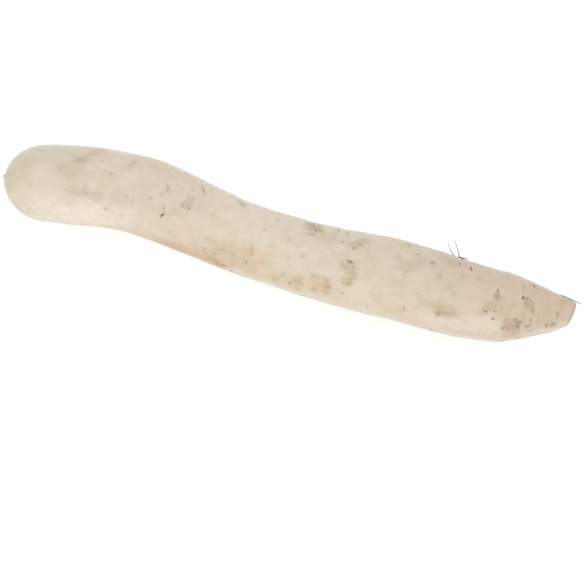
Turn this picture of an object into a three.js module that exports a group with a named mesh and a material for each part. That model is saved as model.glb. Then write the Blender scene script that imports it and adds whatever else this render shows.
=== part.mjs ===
// A long white radish (daikon): one root, trimmed at both ends and lying on its side.
// Millimetres, +Z up. The root runs along +X, from the trimmed crown to the cut tail,
// and rests on the plane Z = 0, with the origin under the middle of its bounding box.
import * as THREE from "three";
import { mergeVertices } from "three/addons/utils/BufferGeometryUtils.js";

// Driving dimensions.
const LENGTH = 400; // crown scar to cut tail, along the bent axis
const CROWN_RADIUS = 4.2; // the scar left where the leaves were trimmed off
const CROWN_DOME = 0.9; // how far that scar bulges at its middle
const SHOULDER = { length: 27.5, radius: 26 }; // the rounded top, from the scar to the body
const TAIL_RADIUS = 8.2; // where the thin end of the root was cut off
const TAIL_RIM = 0.5; // width of the worn edge round that cut
const TAIL_HOLLOW = 0.6; // how far the cut flesh has dried back at its middle
const SETTLE = 0.5; // the underside is pressed flat by this much where it lies

// Radius of the body against distance from the crown, from the shoulder to the cut.
const GIRTH = [
  [SHOULDER.length, SHOULDER.radius],
  [60, 27.3],
  [78, 27.2],
  [97, 26.8],
  [114, 26.9],
  [140, 25.9],
  [182, 24.6],
  [225, 25.6],
  [280, 27.2],
  [322, 26.1],
  [350, 24.0],
  [368, 20.2],
  [385, 14.8],
  [LENGTH, TAIL_RADIUS],
];

// The axis seen from above. The root grew past a stone and back, so it is a shallow S.
const AXIS = [
  [-201.7, -0.2],
  [-163, 6.2],
  [-122, 11.3],
  [-100, 10.1],
  [-79, 6.1],
  [-35, -2.5],
  [9, -8],
  [52, -10.5],
  [94, -11.5],
  [122, -14],
  [150, -13.5],
  [177, -10.6],
  [197.5, -7.6],
];

// Between these distances the root touches the ground, and beyond them its axis runs level.
const LIES_FROM = 60;
const LIES_TO = 285;

// The tail was cut askew: its face looks a little down and to the front.
const CUT_LEAN = { front: 0.2, down: 0.25, fades_over: 14 };

// Shallow swellings, each a wave along the root with so many lobes round it.
const SWELLINGS = [
  { depth: 0.22, wavelength: 118, lobes: 1, turn: 0.6 },
  { depth: 0.26, wavelength: 71, lobes: 2, turn: 2.1 },
  { depth: 0.16, wavelength: 43, lobes: 3, turn: 4.0 },
  { depth: 0.12, wavelength: 27, lobes: 1, turn: 5.2 },
];

const SIDES = 40; // facets round the root
const RING_STEP = 7.2; // distance between rings on the body
const TAIL_STEP = 4.2; // and where the tail narrows
const TAIL_FROM = 340;
const SHOULDER_RINGS = 10;
const SCAR_RINGS = [0, 0.34, 0.68, 0.94, 1]; // radii of the crown scar's rings, as shares
const CUT_RINGS = [1, 0.7, 0.35, 0]; // and those of the cut tail, from its edge inwards
const GIRTH_SAMPLES = 400;

const axis = new THREE.SplineCurve(AXIS.map(([x, y]) => new THREE.Vector2(x, y)));
const girth = new THREE.SplineCurve(GIRTH.map(([x, r]) => new THREE.Vector2(x, r)));
const girthPoints = girth.getSpacedPoints(GIRTH_SAMPLES);

// The body's radius at a distance from the crown, between the shoulder and the cut.
function radiusAt(along) {
  const next = Math.max(1, girthPoints.findIndex((p) => p.x >= along));
  const [a, b] = [girthPoints[next - 1], girthPoints[next]];
  return THREE.MathUtils.mapLinear(along, a.x, b.x, a.y, b.y);
}

// Height of the axis above the ground.
function heightAt(along) {
  return radiusAt(THREE.MathUtils.clamp(along, LIES_FROM, LIES_TO)) - SETTLE;
}

// A point of the lathe's outline: x is the radius and y the distance from the crown.
const ring = (radius, along) => new THREE.Vector2(radius, along);

// The crown: a slightly domed scar, then a quarter of an ellipse out to the body.
function crownOutline() {
  const scar = SCAR_RINGS.map((share) =>
    ring(CROWN_RADIUS * share, -CROWN_DOME * (1 - share ** 2)),
  );
  const rimAngle = Math.asin(CROWN_RADIUS / SHOULDER.radius);
  const start = SHOULDER.length * (1 - Math.cos(rimAngle));
  const shoulder = [];
  for (let i = 1; i <= SHOULDER_RINGS; i++) {
    const angle = THREE.MathUtils.lerp(rimAngle, Math.PI / 2, i / SHOULDER_RINGS);
    const depth = SHOULDER.length * (1 - Math.cos(angle)) - start;
    const stretched = (depth * SHOULDER.length) / (SHOULDER.length - start);
    shoulder.push(ring(SHOULDER.radius * Math.sin(angle), stretched));
  }
  return [...scar, ...shoulder];
}

// The body, ring by ring, closer together where the tail narrows.
function bodyOutline() {
  const outline = [];
  let along = SHOULDER.length + RING_STEP;
  while (along < LENGTH - TAIL_STEP) {
    outline.push(ring(radiusAt(along), along));
    along += along < TAIL_FROM ? RING_STEP : TAIL_STEP;
  }
  return outline;
}

// The cut tail: a worn edge, then flesh that has dried back a little towards the middle.
function tailOutline() {
  const faceRadius = TAIL_RADIUS - TAIL_RIM;
  const face = CUT_RINGS.map((share) =>
    ring(faceRadius * share, LENGTH - TAIL_HOLLOW * (1 - share ** 2)),
  );
  return [ring(TAIL_RADIUS, LENGTH - TAIL_RIM), ...face];
}

// How far the skin stands out from its plain round section.
function swelling(along, angle) {
  return SWELLINGS.reduce((sum, s) => {
    const wave = Math.sin((2 * Math.PI * along) / s.wavelength + s.turn);
    return sum + s.depth * wave * Math.cos(s.lobes * angle + s.turn);
  }, 0);
}

// How strongly the askew cut pulls on a ring: not at all on the body, fully on the face.
function leanAt(along) {
  const start = LENGTH - CUT_LEAN.fades_over;
  return THREE.MathUtils.smoothstep(along, start, LENGTH - TAIL_HOLLOW);
}

// Moves one point of the straight lathe on to the bent root that lies on the ground.
function settle(straight) {
  const along = straight.y;
  const angle = Math.atan2(straight.x, straight.z);
  const plain = Math.hypot(straight.x, straight.z);
  const radius = plain + swelling(along, angle) * Math.min(1, plain / SHOULDER.radius);
  const share = THREE.MathUtils.clamp(along / LENGTH, 0, 1);
  const centre = axis.getPointAt(share);
  const ahead = axis.getTangentAt(share);
  const aside = radius * Math.cos(angle);
  const above = radius * Math.sin(angle);
  const lean = leanAt(along) * (CUT_LEAN.down * above + CUT_LEAN.front * aside);
  const further = along - LENGTH * share + lean;
  return new THREE.Vector3(
    centre.x + ahead.x * further - ahead.y * aside,
    centre.y + ahead.y * further + ahead.x * aside,
    Math.max(0, heightAt(along) + above),
  );
}

function rootGeometry() {
  const outline = [...crownOutline(), ...bodyOutline(), ...tailOutline()];
  const lathe = new THREE.LatheGeometry(outline, SIDES);
  lathe.deleteAttribute("normal");
  lathe.deleteAttribute("uv");
  const solid = mergeVertices(lathe);
  const position = solid.getAttribute("position");
  for (let i = 0; i < position.count; i++) {
    const settled = settle(new THREE.Vector3().fromBufferAttribute(position, i));
    position.setXYZ(i, settled.x, settled.y, settled.z);
  }
  solid.computeBoundingBox();
  const middle = solid.boundingBox.getCenter(new THREE.Vector3());
  solid.translate(-middle.x, -middle.y, -solid.boundingBox.min.z);
  solid.computeVertexNormals();
  return solid;
}

const skin = new THREE.MeshStandardMaterial({
  color: 0xe3d6c2,
  roughness: 0.5,
  metalness: 0,
});

const radishRoot = new THREE.Mesh(rootGeometry(), skin);
radishRoot.name = "radish_root";

const daikon = new THREE.Group();
daikon.add(radishRoot);

export default daikon;
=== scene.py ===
"""A long white radish, trimmed at both ends, lying on its side on a pale studio floor.

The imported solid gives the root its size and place. A copy of it is refined into skin with
growth rings, root scars and stains, the hair roots that washing left behind are added, and
the floor, the lights and the camera are set round it. Lengths are in millimetres where a
name or comment says so, and in metres elsewhere.
"""
import logging
import math
import random
from collections.abc import Callable
from dataclasses import dataclass, field
from enum import Enum
from functools import cached_property

import bmesh
import bpy
import numpy as np
from mathutils import Matrix, Quaternion, Vector, noise


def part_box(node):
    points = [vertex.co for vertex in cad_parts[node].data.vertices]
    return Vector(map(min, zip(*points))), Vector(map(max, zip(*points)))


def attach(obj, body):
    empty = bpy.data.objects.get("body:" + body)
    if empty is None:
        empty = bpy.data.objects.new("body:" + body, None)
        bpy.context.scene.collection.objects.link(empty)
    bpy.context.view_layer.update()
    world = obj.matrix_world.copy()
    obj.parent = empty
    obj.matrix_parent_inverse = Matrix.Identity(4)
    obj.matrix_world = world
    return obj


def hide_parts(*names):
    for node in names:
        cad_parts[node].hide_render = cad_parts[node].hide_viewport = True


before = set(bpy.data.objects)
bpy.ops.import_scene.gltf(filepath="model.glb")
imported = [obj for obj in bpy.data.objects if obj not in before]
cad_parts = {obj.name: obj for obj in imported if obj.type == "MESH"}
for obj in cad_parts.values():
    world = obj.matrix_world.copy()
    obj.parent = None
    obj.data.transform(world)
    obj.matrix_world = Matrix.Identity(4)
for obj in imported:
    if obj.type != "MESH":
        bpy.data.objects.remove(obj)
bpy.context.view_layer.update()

NODE = "radish_root"
BODY = "root"
MM = 0.001
SAME_PLACE = 0.001 * MM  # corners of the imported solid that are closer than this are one
log = logging.getLogger("radish")

Colour = tuple[float, float, float, float]
Width = float | tuple[float, float, float]  # the same all round, or along X, Y and Z
Socket = bpy.types.NodeSocket
Tree = bpy.types.NodeTree


def linear(colour: str) -> Colour:
    """Turns an sRGB colour in hex, such as "e3d6c2", to linear light.

    Args:
        colour: six hex digits.

    Returns:
        Red, green, blue and an alpha of 1.
    """
    shares = [int(colour[i : i + 2], 16) / 255 for i in (0, 2, 4)]
    red, green, blue = [s / 12.92 if s <= 0.04045 else ((s + 0.055) / 1.055) ** 2.4 for s in shares]
    return red, green, blue, 1.0


def add_node(tree: Tree, kind: str, inputs: dict | None = None, **settings: object) -> bpy.types.Node:
    """Adds one shader node, sets its properties, and fills or links its inputs.

    Args:
        tree: the material's node tree.
        kind: the node's type, without its ShaderNode prefix.
        inputs: values or output sockets, by the input's name or number.
        settings: properties of the node, such as operation="MULTIPLY".

    Returns:
        The new node.
    """
    node = tree.nodes.new("ShaderNode" + kind)
    for name, value in settings.items():
        setattr(node, name, value)
    for key, value in (inputs or {}).items():
        if isinstance(value, Socket):
            tree.links.new(value, node.inputs[key])
        else:
            node.inputs[key].default_value = value
    return node


def merged_copy(solid: bpy.types.Object) -> bmesh.types.BMesh:
    """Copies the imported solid, and joins its loose triangles at their corners.

    Args:
        solid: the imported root.

    Returns:
        The copy.
    """
    mesh = bmesh.new()
    mesh.from_mesh(solid.data)
    bmesh.ops.remove_doubles(mesh, verts=mesh.verts, dist=SAME_PLACE)
    return mesh


def add_object(mesh: bmesh.types.BMesh, name: str) -> bpy.types.Object:
    """Puts a finished mesh in the scene, and frees its bmesh.

    Args:
        mesh: the shape.
        name: what the object and its mesh are called.

    Returns:
        The new object.
    """
    data = bpy.data.meshes.new(name)
    mesh.to_mesh(data)
    mesh.free()
    made = bpy.data.objects.new(name, data)
    bpy.context.scene.collection.objects.link(made)
    return made


def smooth(low: float, high: float, value: np.ndarray) -> np.ndarray:
    """Rises smoothly from 0 at low to 1 at high; low may be the larger of the two."""
    share = np.clip((value - low) / (high - low), 0.0, 1.0)
    return share * share * (3.0 - 2.0 * share)


def hump(value: np.ndarray, middle: float = 0.0, width: float = 1.0) -> np.ndarray:
    """1 where the value is at the middle, and close to 0 two widths away from it."""
    return np.exp(-(((value - middle) / width) ** 2))


@dataclass(frozen=True)
class Grain:
    """Even noise over the root, in millimetres."""

    size: Width  # of its lumps
    seed: float  # moves the pattern, so that no two are alike
    depth: float = 1.0

    def at(self, points: np.ndarray) -> np.ndarray:
        """The noise at each point, between about -depth and depth.

        Args:
            points: places, one to a row.

        Returns:
            One value for each point.
        """
        scaled = points / np.array(self.size) + self.seed
        return self.depth * np.array([noise.noise(Vector(p)) for p in scaled.tolist()])


@dataclass
class Spine:
    """The line down the middle of the root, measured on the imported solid, in millimetres.

    A place on the root is given by how far along it is from the crown, and by its turn
    round the spine: 0 degrees is on top, 90 faces the front (-Y) and -90 the back.
    """

    solid: bpy.types.Object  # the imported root, lying along X
    step: float = 4.0  # distance between the slices that the line is measured on
    first: float = 1.5  # how far inside the crown and the tail the outer slices lie
    overrun: float = 12.0  # how far the line goes on, straight, past the outer slices
    rounds: int = 4  # how often a point's place on the line is worked out again
    line: np.ndarray = field(init=False)  # its points
    reach: np.ndarray = field(init=False)  # how far along each of them is
    length: float = field(init=False)  # of the whole root

    def __post_init__(self) -> None:
        """Measures the solid."""
        low, high = (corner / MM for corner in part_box(NODE))
        inner = np.arange(low.x + self.first, high.x - self.first, self.step)
        middles = self._slices(np.append(inner, high.x - self.first))
        before = middles[0] + (middles[0] - middles[2]) * self.overrun / (2 * self.step)
        after = middles[-1] + (middles[-1] - middles[-4]) * self.overrun / (3 * self.step)
        self.line = np.vstack([before, middles, after])
        strides = np.linalg.norm(np.diff(self.line, axis=0), axis=1)
        reach = np.concatenate([[0.0], np.cumsum(strides)])
        self.reach = reach - np.interp(low.x, self.line[:, 0], reach)
        self.length = float(np.interp(high.x, self.line[:, 0], self.reach))

    def _slices(self, stations: np.ndarray) -> np.ndarray:
        """Cuts a copy of the solid across at each station.

        Args:
            stations: places along X, in millimetres.

        Returns:
            The middle of each cut's outline.
        """
        mesh = merged_copy(self.solid)
        middles = []
        for station in stations:
            everything = [*mesh.verts, *mesh.edges, *mesh.faces]
            plane = Vector((station * MM, 0.0, 0.0))
            cut = bmesh.ops.bisect_plane(
                mesh, geom=everything, dist=1e-7, plane_co=plane, plane_no=(1.0, 0.0, 0.0)
            )
            outline = [e for e in cut["geom_cut"] if isinstance(e, bmesh.types.BMEdge)]
            girth = sum(e.calc_length() for e in outline)
            ends = [(e.verts[0].co + e.verts[1].co) * (e.calc_length() / 2) for e in outline]
            middles.append(sum(ends, Vector()) / girth / MM)
        mesh.free()
        return np.array(middles)

    def centre(self, along: np.ndarray) -> np.ndarray:
        """The point of the line at each distance from the crown."""
        return np.stack([np.interp(along, self.reach, self.line[:, i]) for i in range(3)], axis=-1)

    def heading(self, along: np.ndarray) -> np.ndarray:
        """The direction of the line, towards the tail, at each distance from the crown."""
        ahead = self.centre(along + self.step) - self.centre(along - self.step)
        return ahead / np.linalg.norm(ahead, axis=-1, keepdims=True)

    def across(self, along: np.ndarray) -> tuple[np.ndarray, np.ndarray]:
        """The directions square to the line.

        Args:
            along: distances from the crown.

        Returns:
            The directions to the front and up, one to a row each.
        """
        ahead = self.heading(along)
        front = np.cross(ahead, [0.0, 0.0, 1.0])
        front /= np.linalg.norm(front, axis=-1, keepdims=True)
        return front, np.cross(front, ahead)

    def locate(self, points: np.ndarray) -> tuple[np.ndarray, np.ndarray, np.ndarray]:
        """Says where each point is on the root.

        Args:
            points: places in the frame, in millimetres, one to a row.

        Returns:
            The distance from the crown, and the offsets from the line to the front and up.
        """
        along = np.interp(points[:, 0], self.line[:, 0], self.reach)
        for _ in range(self.rounds):
            beyond = ((points - self.centre(along)) * self.heading(along)).sum(axis=1)
            along = along + beyond
        offset = points - self.centre(along)
        front, up = self.across(along)
        return along, (offset * front).sum(axis=1), (offset * up).sum(axis=1)


class Stain(Enum):
    """What coloured a soft-edged patch of skin, or the light or shade painted on it, and the colour it
    gave it.
    """

    PALE = "e5dac8"  # cream: paler skin, and along the underside partly painted light from the bright floor below
    SCUFF_AND_BOUNCE = "cfb492"  # peach, where the outer skin was rubbed thin; along the underside it is partly painted warm shade and bounce light from a second root that lay beneath
    GREENED = "b0a27a"  # olive, where light reached the root
    EARTH_AND_SHADE = "ad9170"  # tan, where wet soil dried on; the band low on the underside near 140 along is painted shade from a second root that lay beneath
    BRUISE = "988b6e"  # grey, under the skin
    CHAFED = "a38e80"  # greyish pink, where it lay against a stone
    RIM_SHEEN = "e1dfdb"  # bluish white: painted sheen in bands along the top and the underside, where the skin turns away

    @property
    def attribute(self) -> str:
        """The name of its attribute on the mesh."""
        return f"stain_{self.name.lower()}"


class Trace(Enum):
    """The shape of a small mark."""

    SLIT = "a sunk slit"
    RING = "a faint ring round a pale middle"
    NUB = "a stub that stands out"


@dataclass(frozen=True)
class Patch:
    """A soft-edged patch of coloured skin, or of painted light or shade.

    Lengths are in millimetres and angles in degrees. A lean of 0 runs along the root, and
    one of 90 runs round it.
    """

    along: float
    turn: float
    length: float
    width: float
    lean: float
    strength: float
    softness: float = 0.5  # 0 for a sharp edge, and 1 for one that fades from the middle out


@dataclass(frozen=True)
class Scar:
    """A small mark where a side root or a stone was, placed and sized as a patch is.

    The tone goes from 0, as pale as the skin, to 1, near black.
    """

    along: float
    turn: float
    length: float
    width: float
    lean: float
    tone: float
    trace: Trace = Trace.SLIT


# The patches on the side that faces up and to the front, from the crown to the tail: along, turn, length,
# width, lean, strength, and the softness where it isn't the usual one. Some are painted light and shade,
# as noted among them.
PATCHES: dict[Stain, list[tuple[float, ...]]] = {
    Stain.PALE: [
        # The broad ones low on the front, at turns of 58 to 86, are partly painted light from the bright
        # floor below, over paler skin.
        (25, 83, 2.4, 2, 0, 0.8, 0.4),
        (28, 16, 14, 10, 0, 0.2, 0.8),
        (35, 63, 26, 14, 0, 0.4, 0.8),
        (60, 80, 62, 22, 0, 0.75, 0.5),
        (93, 69, 44, 13, -8, 0.35, 0.8),
        (98, 60, 12, 1.6, -22, 0.35),
        (182, -16, 64, 48, 0, 0.45, 0.9),
        (263, 58, 16, 12, 0, 0.35, 0.7),
        (268, 76, 34, 10, 0, 0.2, 0.8),
        (317, 78, 26, 14, 0, 0.4, 0.8),
        (334, 72, 16, 12, 0, 0.3),
        (347, 64, 20, 16, 0, 0.5, 0.7),
        (388, 86, 8, 5, 0, 0.25),
        (398, 68, 8, 6, 0, 0.35),
    ],
    Stain.CHAFED: [
        (2, 30, 8, 10, 90, 0.2, 0.8),
        (7, 62, 10, 5, 90, 0.25, 0.8),
        (9, -16, 9, 6, 90, 0.25, 0.8),
        (166, -40, 16, 8, 0, 0.2, 0.8),
        (312, -32, 14, 10, 0, 0.25, 0.8),
        (331, -38, 14, 8, 0, 0.25, 0.8),
        (365, 66, 11, 12, 60, 0.35),
        (366, 84, 10, 7, 0, 0.25),
        (380, -40, 20, 10, 0, 0.2, 0.8),
    ],
    Stain.SCUFF_AND_BOUNCE: [
        (13, 85, 6, 4, 90, 0.45),
        (66, -30, 12, 8, 90, 0.15),
        (116, -25, 14, 12, 0, 0.15),
        (131, 33, 16, 4.5, 8, 0.5),
        (134, 60, 10, 8, 0, 0.25),
        # Painted shade and warm bounce light from a second root that lay beneath: a warm band along the
        # underside.
        (143, 94, 52, 14, -6, 0.75, 0.75),
        (158, 53, 6, 6, 90, 0.3),
        (163, 60, 8, 8, 0, 0.3),
        # The patches at 178, 198, 216 and 240 along are partly peach skin and partly painted warm bounce
        # light from that root.
        (178, 68, 44, 22, 0, 0.6),
        (191, 46, 26, 11, 0, 0.35),
        (203, 36, 24, 6, -10, 0.22),
        (198, 84, 18, 10, 0, 0.3),
        (216, 88, 14, 12, 0, 0.35),
        (236.5, 63.5, 12.5, 10.5, 0, 0.7, 0.25),
        (240, 74, 76, 22, 0, 0.2, 0.9),
        (265, 24, 12, 12, 0, 0.15),
        (287, 76, 20, 14, 0, 0.35),
        (312, 56, 11, 2.6, -22, 0.5),
        (312, -28, 10, 8, 0, 0.08),
        (318, 50, 8, 8, 0, 0.35),
        (330, -38, 12, 6, 0, 0.15),
        (350, -12, 14, 8, 0, 0.12),
        (364, 84, 9, 7, 0, 0.3),
        (386, 42, 10, 9, 0, 0.1),
        (400, -8, 10, 8, 0, 0.1),
    ],
    Stain.GREENED: [
        (8, 38, 18, 8, 90, 0.22, 0.8),
        (13, 10, 24, 18, 80, 0.25, 0.8),
        (17, 92, 10, 6, 60, 0.2, 0.8),
        (36, -18, 44, 14, 0, 0.12, 0.8),
        (49, 11, 19, 16, 0, 0.32, 0.9),
        (69, 44, 13, 8, 0, 0.16, 0.5),
        (131.5, 65, 5, 2.5, 80, 0.5),
        (166.5, -36, 10, 5, 45, 0.2),
        (206, -3, 14, 6, 90, 0.14),
        (206.5, 76, 7, 9, 0, 0.3),
        (210, 9, 4.5, 3.6, 60, 0.35),
        (228.5, -25, 5, 4, 0, 0.45),
        (231, 59, 4, 2.6, 90, 0.4),
        (242.6, 68, 11, 4.5, 90, 0.45),
        (222.7, 28.5, 5, 4.5, 0, 0.4),
        (252, 23, 6, 4, 90, 0.6),
        (254.5, 48, 8, 5, 20, 0.52, 0.35),
        (259, -21, 9, 7, -20, 0.55, 0.4),
        (277, 67, 7, 7, 0, 0.22),
        (283, -4, 5, 4, 40, 0.3),
        (285, -30, 12, 9, 0, 0.15),
        (287, 34, 12, 5, -10, 0.22),
        (308, 49, 10, 5, 0, 0.25),
        (322, 54, 16, 8, -4, 0.42, 0.6),
        (337, 90, 11, 7, -10, 0.2),
        (340, -26, 14, 12, 0, 0.12, 0.8),
        (355, 30, 14, 14, 0, 0.2, 0.8),
        (358, -25, 16, 10, 0, 0.05),
        (363, 42, 8, 7, 0, 0.22),
        (370, 15, 9, 2.4, 80, 0.55),
        (371, 36, 5, 2, 90, 0.5),
        (374, 66, 8, 5, 90, 0.25),
        (400, -34, 12, 7, 0, 0.3),
        (397, 36, 14, 7, 70, 0.35),
    ],
    Stain.EARTH_AND_SHADE: [
        (16.5, 8, 9, 5, 80, 0.12),
        (43, 5, 10, 6, 70, 0.2),
        (57, 41, 18, 7, 0, 0.24),
        (61.8, 34, 7, 2.2, 100, 0.25),
        (65, -36, 12, 8, 90, 0.32),
        (86, 41, 14, 12, 15, 0.17, 0.7),
        (90, -22, 15, 2.6, -78, 0.28),
        (92, 37, 4.5, 2.4, -20, 0.3),
        (98, 41, 6, 2.2, 90, 0.25),
        (136, 8, 8, 5.4, 80, 0.3, 0.6),
        (135.3, 16, 9.5, 5, 0, 0.38, 0.5),
        # Painted shade from a second root that lay beneath, along the underside.
        (139, 99, 56, 13, -4, 0.45, 0.85),
        (164, 89, 14, 10, 20, 0.5),
        (166.5, -35, 9, 5, 50, 0.2),
        # Partly painted warm bounce light from that root, like the peach patch in the same place.
        (178, 66, 44, 22, 0, 0.12),
        (188.8, 45, 6, 2.4, 80, 0.42),
        (200.5, 26, 6, 2, -25, 0.32),
        (222, -29, 15, 11, 20, 0.3),
        (222, 67, 8, 7, 90, 0.5),
        (222, 88, 6, 4, 90, 0.42),
        (231.5, 54.5, 4.5, 2, -30, 0.35),
        (233.7, 77.5, 3.2, 2.6, 0, 0.65, 0.3),
        (237, 63.5, 12.5, 10.5, 0, 0.14, 0.3),
        (242, 60, 8, 5, 90, 0.15),
        (252, 51.6, 5, 1.8, 15, 0.75),
        (254, -9, 7, 6, 0, 0.5),
        (256, 53, 3.6, 1.8, -30, 0.5),
        (257.5, 32, 12, 8.5, 80, 0.48, 0.35),
        (291, 18, 8, 1.5, 100, 0.38),
        (292, 5, 15, 7, -20, 0.2),
        (295.5, 70, 5, 2.4, 100, 0.3),
        (304.5, 63, 5, 2.4, -30, 0.22),
        (317, -23, 10, 7, 20, 0.42),
        (318.2, 44, 8, 4, -30, 0.35),
        (318, 53, 9, 6, 10, 0.2),
        (319.5, 60.5, 3.6, 2.8, 90, 0.3),
        (322.5, 58.5, 14, 4.5, -6, 0.34, 0.5),
        (345, 42, 9, 5, -50, 0.42),
        (349, 34, 9, 6, 0, 0.3),
        (352, 26, 8, 4, 90, 0.22),
        (352.8, 13, 5, 4.5, 90, 0.75, 0.5),
        (355.5, 14, 5, 4, 0, 0.42),
        (364.5, 60, 9, 8, 0, 0.55, 0.4),
        (367, 76, 8, 5, 90, 0.42),
        (368.8, 53.5, 4, 2, 0, 0.5),
        (372.5, 17, 8, 6, 80, 0.45),
        (375.5, -33, 4, 2.6, 90, 0.45),
        (376.5, 28, 5, 2.6, 90, 0.25),
        (377, -24, 5, 2.4, 70, 0.25),
        (379, 40, 32, 16, 0, 0.15),
        (380, -10, 20, 14, 0, 0.12),
        (388, 40, 12, 9, 90, 0.12),
        (389, 67, 6, 3.4, 90, 0.42),
        (393, 45, 8, 1.6, 88, 0.5),
        (400, -6, 12, 8, 0, 0.3, 0.8),
        (402, 50, 8, 6, 90, 0.1),
    ],
    Stain.BRUISE: [
        (4, 31, 4, 4, 0, 0.2),
        (21, -28, 15, 5, 12, 0.18),
        (30, -12, 42, 16, 0, 0.05, 0.8),
        (52, -6.5, 8, 3.4, 0, 0.2),
        (56.5, -11, 12, 5.5, -38, 0.32, 0.7),
        (57.5, -4, 6, 4.5, 90, 0.12),
        (69.5, 46, 9, 6, 0, 0.16, 0.5),
        (77, 62, 3.4, 2.6, 0, 0.5),
        (88.3, -13, 9, 2.6, -75, 0.3),
        (121, 35, 5, 3, 70, 0.55),
        (222, -30, 14, 11, 30, 0.3),
        (223.7, -10.5, 6, 2.2, -27, 0.25),
        (235, -14, 18, 9, 0, 0.18),
        (248.5, 27, 5, 4, 90, 0.25),
        (299, -10, 10, 7, 0, 0.2, 0.7),
        (307.5, 20, 3, 2, 0, 0.14),
        (308.3, 29, 3.4, 2.6, 0, 0.17),
        (313.5, 9, 5.5, 2.8, 60, 0.32),
        (322, 17, 6, 3, 80, 0.3),
        (325.5, 26, 6, 2.8, 60, 0.28),
        (338.5, -6, 5, 2.4, 0, 0.28),
        (352.5, 12.5, 5.5, 4, 90, 0.5),
        (371, 15, 8, 3.5, 80, 0.32),
        (399, -36, 12, 5, 0, 0.1),
    ],
    Stain.RIM_SHEEN: [
        # Painted sheen: pale bluish bands along the top and the underside, where the skin turns edge-on
        # seen from the front and above.
        (14, -50, 38, 30, 0, 0.32, 0.9),
        (40, 103, 26, 6, 0, 0.45, 0.8),
        (52, -60, 56, 18, 0, 0.3, 1.0),
        (100, -58, 60, 16, 0, 0.25, 1.0),
        (140, -56, 50, 15, 0, 0.35, 1.0),
        (180, -56, 50, 12, 0, 0.2, 1.0),
        (240, 102, 90, 10, 0, 0.3, 0.9),
        (325, -56, 60, 12, 0, 0.2, 1.0),
        (340, 104, 50, 9, 0, 0.35, 0.9),
        (370, -52, 50, 9, 0, 0.25, 0.9),
        (390, 100, 30, 8, 0, 0.25, 0.9),
    ],
}

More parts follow.
